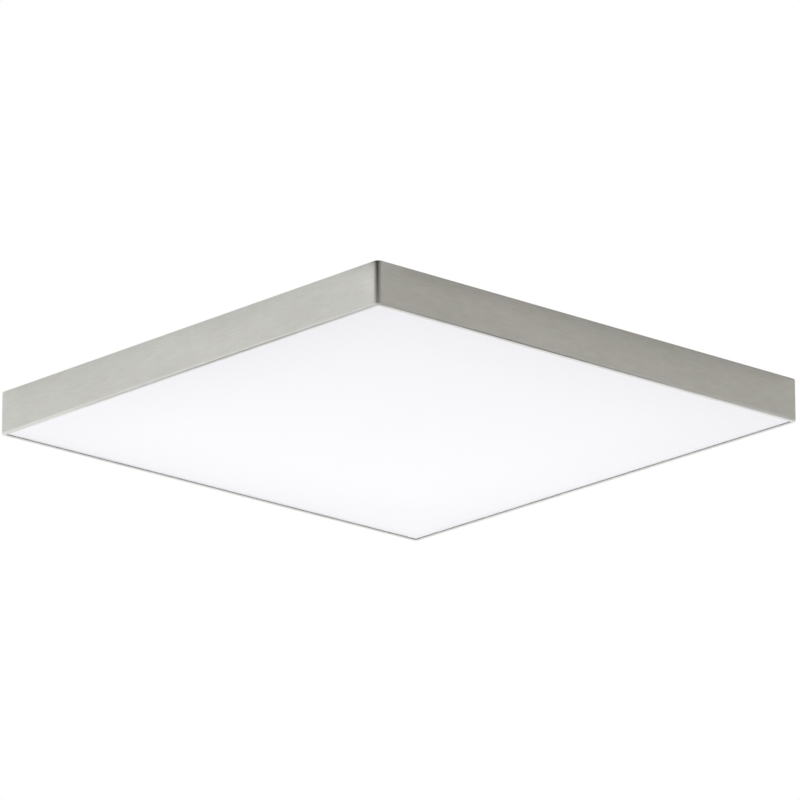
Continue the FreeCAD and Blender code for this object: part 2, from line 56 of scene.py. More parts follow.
def addNode(tree, kind, links=None, **settings):
    # adds a node, sets its properties, then fills its inputs with values or links them to other nodes
    node = tree.nodes.new(kind)
    for name, value in settings.items():
        setattr(node, name, value)
    for name, source in (links or {}).items():
        socket = node.inputs[name]
        if isinstance(source, bpy.types.NodeSocket):
            tree.links.new(source, socket)
        else:
            socket.default_value = source
    return node


def srgb(code):
    # a hex colour, as written in sRGB, turned to linear
    channels = [int(code[i:i + 2], 16) / 255 for i in (0, 2, 4)]
    linear = [c / 12.92 if c <= 0.04045 else ((c + 0.055) / 1.055) ** 2.4 for c in channels]
    return (*linear, 1.0)


# view of the photograph

cameraPlan = {
    "around": -42.307,          # degrees, fitted to the frame's edges in the photograph
    "above": -17.625,
    "distance": 8.428,
    "aim": (-0.016, -0.102, -0.136),   # small turns about the camera's own upright, level and view axes
    "focalPixels": 7799.77,
    "imagePixels": 800,
    "sensor": 36.0,
    "clip": (0.1, 200.0),
}


def placeCamera(plan):
    around = math.radians(plan["around"])
    above = math.radians(plan["above"])
    back = Vector((math.sin(around) * math.cos(above), -math.cos(around) * math.cos(above), math.sin(above)))
    upright, level, roll = [math.radians(a) for a in plan["aim"]]
    aim = Matrix.Rotation(upright, 3, "Y") @ Matrix.Rotation(level, 3, "X") @ Matrix.Rotation(roll, 3, "Z")
    turn = (-back).to_track_quat("-Z", "Y").to_matrix() @ aim
    data = bpy.data.cameras.new("photoView")
    data.sensor_width = plan["sensor"]
    data.lens = plan["sensor"] * plan["focalPixels"] / plan["imagePixels"]
    data.clip_start, data.clip_end = plan["clip"]
    camera = bpy.data.objects.new("photoView", data)
    bpy.context.scene.collection.objects.link(camera)
    place = back * plan["distance"] + Vector((0, 0, frameHigh.z))
    camera.matrix_world = Matrix.Translation(place) @ turn.to_4x4()
    bpy.context.scene.camera = camera


placeCamera(cameraPlan)
bpy.context.scene.view_settings.view_transform = "Standard"
print("camera placed")


# studio: a light ceiling round the fitting, a pale floor, and grey cards that only the metal sees

studio = {
    "worldLevel": 0.62,         # the plain light from all round
    "floorDrop": 9.0,           # how far below the ceiling the floor lies
    "floorSide": 60.0,
    "floorColour": "EDEDEC",
    "ceilingSide": 3.2,
    "ceilingColour": "DBDAD6",
    "ceilingMirror": ("E0E1E0", "A29F9A"),     # painted light on the left and painted shade on the right, which the metal sees of it
    "ceilingEven": 0.7,         # share of that which is even, and not shaded as the ceiling itself is
    "ceilingChange": 0.08,      # half the span of X less Y, in metres, over which one turns into the other
    "ceilingHole": 2.5 * mm,    # how far in from the frame's face it starts
    "lamps": {                  # place, side in metres and power in watts
        "keyLamp": ((1.2, 1.6, -3.4), 2.0, 83),
        "fillLamp": ((-2.6, -1.6, -2.0), 1.8, 14),
        "topLamp": ((1.0, -1.0, 3.5), 2.5, 60),
    },
    # a dark flag stands round the near corner, and gives it its dark line
    "flagAround": -57.0,        # degrees, where it is darkest
    "flagSpread": (79.0, 80.0),      # how far it reaches to its left and right, in degrees
    "flagRadius": 0.075,
    "flagHeight": 0.12,
    "flagInset": 6.6 * mm,      # the point it is bent round, inside the frame's corner
    "flagTop": -0.1 * mm,       # just under the ceiling
    "flagColour": "101010",
    # a white strip beside that corner: how far along the left wall, how wide, and from where to where it runs
    # out from the wall, in the direction that around gives in degrees
    "gleam": {"start": 5.0 * mm, "width": 15.0 * mm, "near": 0.035, "far": 0.12, "around": -137.7,
              "level": -0.3 * mm},
    # below each wall, seen by its foot bend as a dark line: whether it runs along Y, its middle, its fade to
    # both sides, its start and end out from the wall, its level and its colour
    "cards": {
        "rightCard": (False, 0.02, (0.6, 0.9), (0.01, 0.45), -0.15, "101010"),
        "leftCard": (True, 0.03, (0.45, 0.36), (-0.09, 0.03), -0.15, "707070"),
    },
}


def whiteToTheEye(tree):
    # camera, glossy and transmitted rays see plain white; every other ray gets what lights the object
    path = addNode(tree, "ShaderNodeLightPath").outputs
    seen = addNode(tree, "ShaderNodeMath", {0: path["Is Camera Ray"], 1: path["Is Glossy Ray"]},
                   operation="MAXIMUM")
    seen = addNode(tree, "ShaderNodeMath", {0: seen.outputs[0], 1: path["Is Transmission Ray"]},
                   operation="MAXIMUM")
    return seen.outputs[0]


def makeWorld(level):
    world = bpy.data.worlds.new("studioAir")
    bpy.context.scene.world = world
    world.use_nodes = True
    tree = world.node_tree
    tree.nodes.clear()
    lit = addNode(tree, "ShaderNodeBackground", {"Color": srgb("FFFFFF"), "Strength": level})
    white = addNode(tree, "ShaderNodeBackground", {"Color": srgb("FFFFFF"), "Strength": 1.0})
    mix = addNode(tree, "ShaderNodeMixShader",
                  {0: whiteToTheEye(tree), 1: lit.outputs[0], 2: white.outputs[0]})
    addNode(tree, "ShaderNodeOutputWorld", {"Surface": mix.outputs[0]})


def stageSheet(name, bm, shade):
    # a sheet of card; shade fills its material's tree and gives back the shader
    mesh = bpy.data.meshes.new(name)
    bm.to_mesh(mesh)
    bm.free()
    sheet = bpy.data.objects.new(name, mesh)
    bpy.context.scene.collection.objects.link(sheet)
    material = bpy.data.materials.new(name + "Paint")
    material.use_nodes = True
    tree = material.node_tree
    tree.nodes.clear()
    addNode(tree, "ShaderNodeOutputMaterial", {"Surface": shade(tree)})
    mesh.materials.append(material)
    return sheet


def levelCard(halfSide, z, holeSide=None):
    # a square card, with a square hole in its middle where one is asked for
    bm = bmesh.new()
    rings = [[bm.verts.new((x * side, y * side, z)) for x, y in ((1, 1), (-1, 1), (-1, -1), (1, -1))]
             for side in (halfSide, holeSide) if side]
    if holeSide:
        for i in range(4):
            j = (i + 1) % 4
            bm.faces.new((rings[0][i], rings[0][j], rings[1][j], rings[1][i]))
    else:
        bm.faces.new(rings[0])
    return bm


def standingCard(centre, around, spread, radius, height, steps=24):
    # a card bent round a point, with a roof from its top to that point; its UV map runs from -1 to 1 along
    # it, with 0 where it is darkest, and from 0 at its top to 1 at its foot
    bm = bmesh.new()
    sides = bm.loops.layers.uv.new("cardPlace")
    stops = []
    for i in range(-steps, steps + 1):
        angle = math.radians(around + i / steps * spread[0 if i < 0 else 1])
        out = centre + radius * Vector((math.sin(angle), -math.cos(angle), 0.0))
        stops.append((i / steps, bm.verts.new(out), bm.verts.new(out - Vector((0, 0, height)))))
    for (u0, top0, foot0), (u1, top1, foot1) in zip(stops, stops[1:]):
        face = bm.faces.new((top0, foot0, foot1, top1))
        for loop, place in zip(face.loops, ((u0, 0), (u0, 1), (u1, 1), (u1, 0))):
            loop[sides].uv = place
        face = bm.faces.new((bm.verts.new(centre), top0, top1))
        for loop, along in zip(face.loops, ((u0 + u1) / 2, u0, u1)):
            loop[sides].uv = (along, 0)
    return bm


def underCard(alongY, middle, fade, out, level):
    # a level card with a UV map that runs from -1 to 1 along it, with 0 in its middle
    bm = bmesh.new()
    sides = bm.loops.layers.uv.new("cardPlace")
    stops = []
    for u, along in ((-1, middle - fade[0]), (0, middle), (1, middle + fade[1])):
        edge = [(along, -frameHigh.x - step) for step in out]
        stops.append((u, [bm.verts.new((y, x, level) if alongY else (x, y, level)) for x, y in edge]))
    for (u0, first), (u1, second) in zip(stops, stops[1:]):
        face = bm.faces.new((first[0], first[1], second[1], second[0]))
        for loop, u in zip(face.loops, (u0, u0, u1, u1)):
            loop[sides].uv = (u, 0)
    return bm


def gleamCard(start, width, near, far, around, level):
    # a strip that runs out from the left wall, beside the near corner
    out = Vector((math.sin(math.radians(around)), -math.cos(math.radians(around)), 0.0))
    feet = [Vector((-frameHigh.x, -frameHigh.x + start + step, level)) for step in (0.0, width)]
    bm = bmesh.new()
    bm.faces.new([bm.verts.new(foot + reach * out)
                  for foot, reach in ((feet[0], near), (feet[0], far), (feet[1], far), (feet[1], near))])
    return bm


def glow(colour):
    def shade(tree):
        return addNode(tree, "ShaderNodeEmission", {"Color": srgb(colour), "Strength": 1.0}).outputs[0]
    return shade


def paint(colour):
    def shade(tree):
        return addNode(tree, "ShaderNodeBsdfDiffuse", {"Color": srgb(colour)}).outputs[0]
    return shade


def whitePaint(colour):
    # plain paint for the light that reaches the object, plain white in its mirror
    def shade(tree):
        white = glow("FFFFFF")(tree)
        return addNode(tree, "ShaderNodeMixShader",
                       {0: whiteToTheEye(tree), 1: paint(colour)(tree), 2: white}).outputs[0]
    return shade


def mirroredLightAndShade(colour, left, right, even, change):
    # plain paint for the light that reaches the object; the metal mirrors a more even glowing sheet,
    # with painted light on one side and painted shade on the other
    def shade(tree):
        spot = addNode(tree, "ShaderNodeTexCoord").outputs["Object"]
        place = addNode(tree, "ShaderNodeSeparateXYZ", {0: spot}).outputs
        side = addNode(tree, "ShaderNodeMath", {0: place["X"], 1: place["Y"]}, operation="SUBTRACT")
        blend = addNode(tree, "ShaderNodeMapRange",
                        {"Value": side.outputs[0], "From Min": -change, "From Max": change},
                        interpolation_type="SMOOTHSTEP")
        tone = addNode(tree, "ShaderNodeMix", {0: blend.outputs[0], 6: srgb(left), 7: srgb(right)},
                       data_type="RGBA")
        # a glow that only the metal sees: painted light on the left, painted shade on the right
        seen = addNode(tree, "ShaderNodeEmission", {"Color": tone.outputs[2], "Strength": 1.0})
        glossy = addNode(tree, "ShaderNodeLightPath").outputs["Is Glossy Ray"]
        mirrored = addNode(tree, "ShaderNodeMath", {0: glossy, 1: even}, operation="MULTIPLY")
        return addNode(tree, "ShaderNodeMixShader",
                       {0: mirrored.outputs[0], 1: paint(colour)(tree), 2: seen.outputs[0]}).outputs[0]
    return shade


def gradedPaint(colour):
    # paint on clear film, dense where the UV map is 0, and thinning out to nothing at both ends and the foot
    def shade(tree):
        spot = addNode(tree, "ShaderNodeUVMap", uv_map="cardPlace").outputs[0]
        place = addNode(tree, "ShaderNodeSeparateXYZ", {0: spot}).outputs
        along = addNode(tree, "ShaderNodeMath", {0: place["X"]}, operation="ABSOLUTE").outputs[0]
        side, down = [addNode(tree, "ShaderNodeMapRange", {"Value": way, "To Min": 1.0, "To Max": 0.0})
                      for way in (along, place["Y"])]
        dense = addNode(tree, "ShaderNodeMath", {0: side.outputs[0], 1: down.outputs[0]},
                        operation="MULTIPLY")
        clear = addNode(tree, "ShaderNodeBsdfTransparent")
        return addNode(tree, "ShaderNodeMixShader",
                       {0: dense.outputs[0], 1: clear.outputs[0], 2: paint(colour)(tree)}).outputs[0]
    return shade


def onlyMirrored(card):
    # the card shows in reflections alone: it takes no light from the object and throws no shadow
    card.visible_camera = False
    card.visible_diffuse = False
    card.visible_transmission = False
    card.visible_shadow = False


def areaLamp(name, place, size, power):
    data = bpy.data.lights.new(name, "AREA")
    data.shape = "SQUARE"
    data.size = size
    data.energy = power
    lamp = bpy.data.objects.new(name, data)
    bpy.context.scene.collection.objects.link(lamp)
    lamp.location = place
    lamp.rotation_euler = (-Vector(place)).to_track_quat("-Z", "Y").to_euler()
    lamp.visible_glossy = False


def makeStudio(plan):
    makeWorld(plan["worldLevel"])
    floor = stageSheet("studioFloor", levelCard(plan["floorSide"] / 2, -plan["floorDrop"]),
                       whitePaint(plan["floorColour"]))
    floor.visible_shadow = False
    sheet = levelCard(plan["ceilingSide"] / 2, 0.0, frameHigh.x - plan["ceilingHole"])
    tones = mirroredLightAndShade(plan["ceilingColour"], *plan["ceilingMirror"], plan["ceilingEven"],
                         plan["ceilingChange"])
    onlyMirrored(stageSheet("studioCeiling", sheet, tones))
    for name, lamp in plan["lamps"].items():
        areaLamp(name, *lamp)
    inset = frameHigh.x - plan["flagInset"]
    corner = Vector((-inset, -inset, plan["flagTop"]))
    flag = standingCard(corner, plan["flagAround"], plan["flagSpread"], plan["flagRadius"],
                        plan["flagHeight"])
    onlyMirrored(stageSheet("cornerFlag", flag, gradedPaint(plan["flagColour"])))
    onlyMirrored(stageSheet("gleamCard", gleamCard(**plan["gleam"]), glow("FFFFFF")))
    for name, (*place, colour) in plan["cards"].items():
        onlyMirrored(stageSheet(name, underCard(*place), gradedPaint(colour)))


makeStudio(studio)
print("studio made")


# shared mesh helpers

smoothAngle = 30        # degrees, a sharper turn between two faces stays an edge


def meshPiece(name, bm, material, angle=smoothAngle):
    mesh = bpy.data.meshes.new(name)
    bm.to_mesh(mesh)
    bm.free()
    piece = bpy.data.objects.new(name, mesh)
    bpy.context.scene.collection.objects.link(piece)
    piece.data.materials.append(material)
    smooth(piece, angle)
    return piece


def smooth(piece, angle):
    piece.data.polygons.foreach_set("use_smooth", [True] * len(piece.data.polygons))
    piece.data.set_sharp_from_angle(angle=math.radians(angle))


def finishPiece(piece, body, slotName, *replaced):
    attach(piece, body)
    if replaced:
        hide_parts(*replaced)
    print("made", piece.name, len(piece.data.polygons), "faces")


def keepResult(piece):
    # the mesh as its modifiers leave it, without the modifiers
    view = bpy.context.evaluated_depsgraph_get()
    mesh = bpy.data.meshes.new_from_object(piece.evaluated_get(view), preserve_all_data_layers=True,
                                           depsgraph=view)
    piece.modifiers.clear()
    piece.data = mesh
    mesh.name = piece.name


def arcPoints(centre, radius, start, end, steps):
    # points on an arc in the plane of a section, from one angle to another in degrees, both ends included
    angles = [math.radians(start + (end - start) * i / steps) for i in range(steps + 1)]
    return [(centre[0] + radius * math.cos(a), centre[1] + radius * math.sin(a)) for a in angles]


def closedLine(name, points):
    # a closed line in a plane, for a tree to follow or to sweep
    data = bpy.data.curves.new(name, "CURVE")
    data.dimensions = "3D"
    line = data.splines.new("POLY")
    line.points.add(len(points) - 1)
    for point, (x, y) in zip(line.points, points):
        point.co = (x, y, 0.0, 1.0)
    line.use_cyclic_u = True
    holder = bpy.data.objects.new(name, data)
    bpy.context.scene.collection.objects.link(holder)
    return holder


def inMetres(outline):
    return [(radius * mm, height * mm) for radius, height in outline]


def turned(profile, sides):
    # a closed round body from its half section, (radius, height) points from pole to pole
    bm = bmesh.new()
    rings = []
    for radius, height in profile:
        if radius < tiny:
            rings.append([bm.verts.new((0, 0, height))] * sides)
            continue
        turns = [2 * math.pi * i / sides for i in range(sides)]
        rings.append([bm.verts.new((radius * math.cos(t), radius * math.sin(t), height)) for t in turns])
    for low, high in zip(rings, rings[1:]):
        for i in range(sides):
            j = (i + 1) % sides
            corners = []
            for v in (low[i], low[j], high[j], high[i]):
                if v not in corners:
                    corners.append(v)
            if len(corners) > 2:
                bm.faces.new(corners)
    bmesh.ops.recalc_face_normals(bm, faces=bm.faces)
    return bm


# shared geometry trees

def newTree(name, inputs):
    tree = bpy.data.node_groups.new(name, "GeometryNodeTree")
    for label, kind in inputs.items():
        tree.interface.new_socket(label, in_out="INPUT", socket_type="NodeSocket" + kind)
    tree.interface.new_socket("Geometry", in_out="OUTPUT", socket_type="NodeSocketGeometry")
    return tree, tree.nodes.new("NodeGroupInput").outputs


def grown(name, tree, values):
    # runs a tree with its inputs set by identifier, and keeps what it makes as a plain mesh
    piece = bpy.data.objects.new(name, bpy.data.meshes.new(name + "Start"))
    bpy.context.scene.collection.objects.link(piece)
    modifier = piece.modifiers.new("grow", "NODES")
    modifier.node_group = tree
    for item in tree.interface.items_tree:
        if item.in_out == "INPUT":
            modifier[item.identifier] = values[item.name]
    keepResult(piece)
    for value in values.values():
        if isinstance(value, bpy.types.Object):
            bpy.data.objects.remove(value)
    return piece


def measuredLine(tree, source):
    # a line object's curve, which remembers how far along it each point is and how long it is in all
    line = addNode(tree, "GeometryNodeObjectInfo", {"Object": source})
    keep = addNode(tree, "GeometryNodeCaptureAttribute", {"Geometry": line.outputs["Geometry"]})
    keep.capture_items.new("FLOAT", "run")
    keep.capture_items.new("FLOAT", "whole")
    tree.links.new(addNode(tree, "GeometryNodeSplineParameter").outputs["Length"], keep.inputs["run"])
    tree.links.new(addNode(tree, "GeometryNodeSplineLength").outputs["Length"], keep.inputs["whole"])
    return keep.outputs


closingShare = 0.25     # a corner this share of the loop behind its face's middle is past the loop's start


def unwrapped(tree, line):
    # the run at a face's corner; in the face that closes the loop the run starts again, so there it goes on
    # past the whole length
    middle = addNode(tree, "GeometryNodeFieldOnDomain", {"Value": line["run"]}, domain="FACE",
                     data_type="FLOAT")
    behind = addNode(tree, "ShaderNodeMath", {0: middle.outputs[0], 1: line["run"]}, operation="SUBTRACT")
    limit = addNode(tree, "ShaderNodeMath", {0: line["whole"], 1: closingShare}, operation="MULTIPLY")
    closing = addNode(tree, "ShaderNodeMath", {0: behind.outputs[0], 1: limit.outputs[0]},
                      operation="GREATER_THAN")
    return addNode(tree, "ShaderNodeMath", {0: closing.outputs[0], 1: line["whole"], 2: line["run"]},
                   operation="MULTIPLY_ADD").outputs[0]


def sweepTree():
    # a section swept round a closed path, with the distance along both kept as its UV map, in metres
    tree, given = newTree("foldedBand", {"Path": "Object", "Section": "Object", "Finish": "Material"})
    path = measuredLine(tree, given["Path"])
    section = measuredLine(tree, given["Section"])
    level = addNode(tree, "GeometryNodeSetCurveNormal", {"Curve": path["Geometry"]}, mode="Z_UP")
    band = addNode(tree, "GeometryNodeCurveToMesh",
                   {"Curve": level.outputs[0], "Profile Curve": section["Geometry"]})
    place = addNode(tree, "ShaderNodeCombineXYZ", {0: unwrapped(tree, path), 1: unwrapped(tree, section)})
    stored = addNode(tree, "GeometryNodeStoreNamedAttribute",
                     {"Geometry": band.outputs[0], "Name": "alongBand", "Value": place.outputs[0]},
                     data_type="FLOAT2", domain="CORNER")
    real = addNode(tree, "GeometryNodeRealizeInstances", {"Geometry": stored.outputs[0]})
    dressed = addNode(tree, "GeometryNodeSetMaterial",
                      {"Geometry": real.outputs[0], "Material": given["Finish"]})
    addNode(tree, "NodeGroupOutput", {"Geometry": dressed.outputs[0]})
    return tree


def copiesTree():
    # copies of one small body on a level grid, tilted and set in its place, and the whole turned about the
    # light's middle as many times as it is asked for
    tree, given = newTree("gridOfCopies", {"Master": "Object", "Count X": "Int", "Count Y": "Int",
                                           "Pitch X": "Float", "Pitch Y": "Float", "Tilt": "Vector",
                                           "Place": "Vector", "Turns": "Int", "Finish": "Material"})
    spans = []
    for axis in ("X", "Y"):
        gaps = addNode(tree, "ShaderNodeMath", {0: given["Count " + axis], 1: 1.0}, operation="SUBTRACT")
        spans.append(addNode(tree, "ShaderNodeMath", {0: gaps.outputs[0], 1: given["Pitch " + axis]},
                             operation="MULTIPLY").outputs[0])
    grid = addNode(tree, "GeometryNodeMeshGrid",
                   {"Size X": spans[0], "Size Y": spans[1], "Vertices X": given["Count X"],
                    "Vertices Y": given["Count Y"]})
    master = addNode(tree, "GeometryNodeObjectInfo", {"Object": given["Master"], "As Instance": True})
    spaced = addNode(tree, "GeometryNodeInstanceOnPoints",
                     {"Points": grid.outputs["Mesh"], "Instance": master.outputs["Geometry"]})
    placed = addNode(tree, "GeometryNodeTransform",
                     {"Geometry": spaced.outputs[0], "Translation": given["Place"],
                      "Rotation": given["Tilt"]})
    whole = addNode(tree, "GeometryNodeGeometryToInstance", {0: placed.outputs[0]})
    starts = addNode(tree, "GeometryNodePoints", {"Count": given["Turns"]})
    number = addNode(tree, "GeometryNodeInputIndex")
    angle = addNode(tree, "ShaderNodeMath", {0: number.outputs[0], 1: math.pi / 2}, operation="MULTIPLY")
    turn = addNode(tree, "ShaderNodeCombineXYZ", {"Z": angle.outputs[0]})
    turnedOnes = addNode(tree, "GeometryNodeInstanceOnPoints",
                         {"Points": starts.outputs[0], "Instance": whole.outputs[0],
                          "Rotation": turn.outputs[0]})
    real = addNode(tree, "GeometryNodeRealizeInstances", {"Geometry": turnedOnes.outputs[0]})
    dressed = addNode(tree, "GeometryNodeSetMaterial",
                      {"Geometry": real.outputs[0], "Material": given["Finish"]})
    addNode(tree, "NodeGroupOutput", {"Geometry": dressed.outputs[0]})
    return tree


sweep = sweepTree()
copies = copiesTree()


def copiesOf(name, master, material, count, pitch, place, tilt=(0.0, 0.0, 0.0), turns=1, angle=smoothAngle):
    holder = meshPiece(name + "Master", master, material)
    piece = grown(name, copies, {"Master": holder, "Count X": count[0], "Count Y": count[1],
                                 "Pitch X": pitch[0], "Pitch Y": pitch[1], "Tilt": tilt, "Place": place,
                                 "Turns": turns, "Finish": material})
    smooth(piece, angle)
    return piece


# materials

def newMaterial(name):
    material = bpy.data.materials.new(name)
    material.use_nodes = True
    tree = material.node_tree
    tree.nodes.clear()
    shader = addNode(tree, "ShaderNodeBsdfPrincipled")
    addNode(tree, "ShaderNodeOutputMaterial", {"Surface": shader.outputs[0]})
    return material, tree, shader


noise = {"roughness": 0.6, "low": 0.33, "high": 0.67}      # most of its values lie between low and high
acrylicIor = 1.49


def grainOf(tree, place, size, detail=2.0):
    # cloudy grain whose lumps are about this many metres across; a triple stretches it along an axis
    sizes = size if isinstance(size, tuple) else (size, size, size)
    scaled = addNode(tree, "ShaderNodeMapping", {"Vector": place, "Scale": [1 / s for s in sizes]})
    return addNode(tree, "ShaderNodeTexNoise",
                   {"Vector": scaled.outputs[0], "Scale": 1.0, "Detail": detail,
                    "Roughness": noise["roughness"]}).outputs[0]


def spread(tree, grain, low, high):
    # opens the noise out to the range that is asked for
    return addNode(tree, "ShaderNodeMapRange",
                   {"Value": grain, "From Min": noise["low"], "From Max": noise["high"], "To Min": low,
                    "To Max": high}).outputs[0]


# brushed stainless steel with a satin nickel finish: an abrasive belt run along the folded strip leaves long
# fine lines, so highlights stretch across them and the walls shimmer a little from line to line
nickelLook = {
    "light": "EDECE9",
    "dark": "D6D5D1",
    "warm": "EBE6E1",           # the two tints that the nickel drifts between
    "cool": "E2E6DE",
    "roughness": (0.29, 0.41),
    "lineSize": (30 * mm, 2.2 * mm, 1.0),    # drawn coarser than the belt's 0.1 mm lines, too fine to show
    "fineSize": (11 * mm, 0.9 * mm, 1.0),
    "mottleSize": (18 * mm, 7 * mm, 1.0),
    "driftSize": (170 * mm, 60 * mm, 1.0),
    "fineShare": 0.4,           # of fine lines among all lines
    "driftShare": 0.55,         # of drift in the wear, the rest being mottle
    "wearShare": 0.6,           # of wear in the tone, the rest being lines
    "tone": (-0.15, 1.15),      # the mix of four grains is flatter than each, so it is opened wider
    "tintShare": 0.3,
    "anisotropy": 0.7,
    "layTurn": 0.25,            # a quarter turn, so that highlights stretch across the lines
    "relief": 0.030 * mm,
    "shadedShearedEdge": "B6B3AE",    # the cut edge is never brushed, and its torn metal is dull; its colour is darker still, as painted shade for the dark line where the lip meets the diffuser
    "shearedRoughness": 0.55,
}


def brushedNickel(look, cutMiddle, cutHalf):
    material, tree, shader = newMaterial("brushedNickelSteel")
    place = addNode(tree, "ShaderNodeUVMap", uv_map="alongBand").outputs[0]
    lines = addNode(tree, "ShaderNodeMix",
                    {0: look["fineShare"], 2: grainOf(tree, place, look["lineSize"], detail=3.0),
                     3: grainOf(tree, place, look["fineSize"])}).outputs[0]
    mottle = grainOf(tree, place, look["mottleSize"], detail=3.0)
    drift = grainOf(tree, place, look["driftSize"])
    worn = addNode(tree, "ShaderNodeMix", {0: look["driftShare"], 2: mottle, 3: drift}).outputs[0]
    grain = addNode(tree, "ShaderNodeMix", {0: look["wearShare"], 2: lines, 3: worn}).outputs[0]
    tone = spread(tree, grain, *look["tone"])
    colour = addNode(tree, "ShaderNodeMix", {0: tone, 6: srgb(look["dark"]), 7: srgb(look["light"])},
                     data_type="RGBA").outputs[2]
    tint = addNode(tree, "ShaderNodeMix", {0: spread(tree, mottle, 0.0, 1.0), 6: srgb(look["warm"]),
                                           7: srgb(look["cool"])}, data_type="RGBA").outputs[2]
    colour = addNode(tree, "ShaderNodeMix", {0: look["tintShare"], 6: colour, 7: tint},
                     data_type="RGBA").outputs[2]
    low, high = look["roughness"]
    rough = addNode(tree, "ShaderNodeMapRange", {"Value": tone, "To Min": high, "To Max": low}).outputs[0]
    across = addNode(tree, "ShaderNodeSeparateXYZ", {0: place}).outputs["Y"]
    # the lip's cut edge: dull torn metal, with its colour darkened further as painted shade of the line by
    # the diffuser
    cut = addNode(tree, "ShaderNodeMath", {0: across, 1: cutMiddle, 2: cutHalf},
                  operation="COMPARE").outputs[0]
    colour = addNode(tree, "ShaderNodeMix", {0: cut, 6: colour, 7: srgb(look["shadedShearedEdge"])},
                     data_type="RGBA").outputs[2]
    rough = addNode(tree, "ShaderNodeMix", {0: cut, 2: rough, 3: look["shearedRoughness"]}).outputs[0]
    bump = addNode(tree, "ShaderNodeBump", {"Height": lines, "Distance": look["relief"]})
    lay = addNode(tree, "ShaderNodeTangent", direction_type="UV_MAP", uv_map="alongBand")
    for name, source in (("Base Color", colour), ("Roughness", rough), ("Normal", bump.outputs[0]),
                         ("Tangent", lay.outputs[0])):
        tree.links.new(source, shader.inputs[name])
    shader.inputs["Metallic"].default_value = 1.0
    shader.inputs["Anisotropic"].default_value = look["anisotropy"]
    shader.inputs["Anisotropic Rotation"].default_value = look["layTurn"]
    return material


# opal acrylic, cast white and satin on its face: light from behind comes out even and soft, a shade dimmer
# and cooler towards the frame, and the face has only a faint sheen
opalLook = {
    "colour": "DFDEE1",
    "centre": "FFFFFF",
    "edge": "F1F2FA",
    "glow": 0.17,
    "reach": 140 * mm,          # how far in from the frame the light has fallen off
    "roughness": 0.42,
    "satinSize": 0.8 * mm,
    "relief": 0.01 * mm,
    "reliefStrength": 0.5,
}


def opalAcrylic(look, halfSide):
    material, tree, shader = newMaterial("opalAcrylic")
    place = addNode(tree, "ShaderNodeTexCoord").outputs["Object"]
    apart = addNode(tree, "ShaderNodeSeparateXYZ", {0: place})
    fades = []
    for axis in ("X", "Y"):
        across = addNode(tree, "ShaderNodeMath", {0: apart.outputs[axis]}, operation="ABSOLUTE")
        fades.append(addNode(tree, "ShaderNodeMapRange",
                             {"Value": across.outputs[0], "From Min": halfSide - look["reach"],
                              "From Max": halfSide, "To Min": 1.0, "To Max": 0.0},
                             interpolation_type="SMOOTHSTEP").outputs[0])
    fade = addNode(tree, "ShaderNodeMath", {0: fades[0], 1: fades[1]}, operation="MULTIPLY")
    light = addNode(tree, "ShaderNodeMix",
                    {0: fade.outputs[0], 6: srgb(look["edge"]), 7: srgb(look["centre"])}, data_type="RGBA")
    bump = addNode(tree, "ShaderNodeBump",
                   {"Height": grainOf(tree, place, look["satinSize"]), "Distance": look["relief"],
                    "Strength": look["reliefStrength"]})
    tree.links.new(light.outputs[2], shader.inputs["Emission Color"])
    tree.links.new(bump.outputs[0], shader.inputs["Normal"])
    shader.inputs["Base Color"].default_value = srgb(look["colour"])
    shader.inputs["Emission Strength"].default_value = look["glow"]
    shader.inputs["Roughness"].default_value = look["roughness"]
    shader.inputs["IOR"].default_value = acrylicIor
    return material


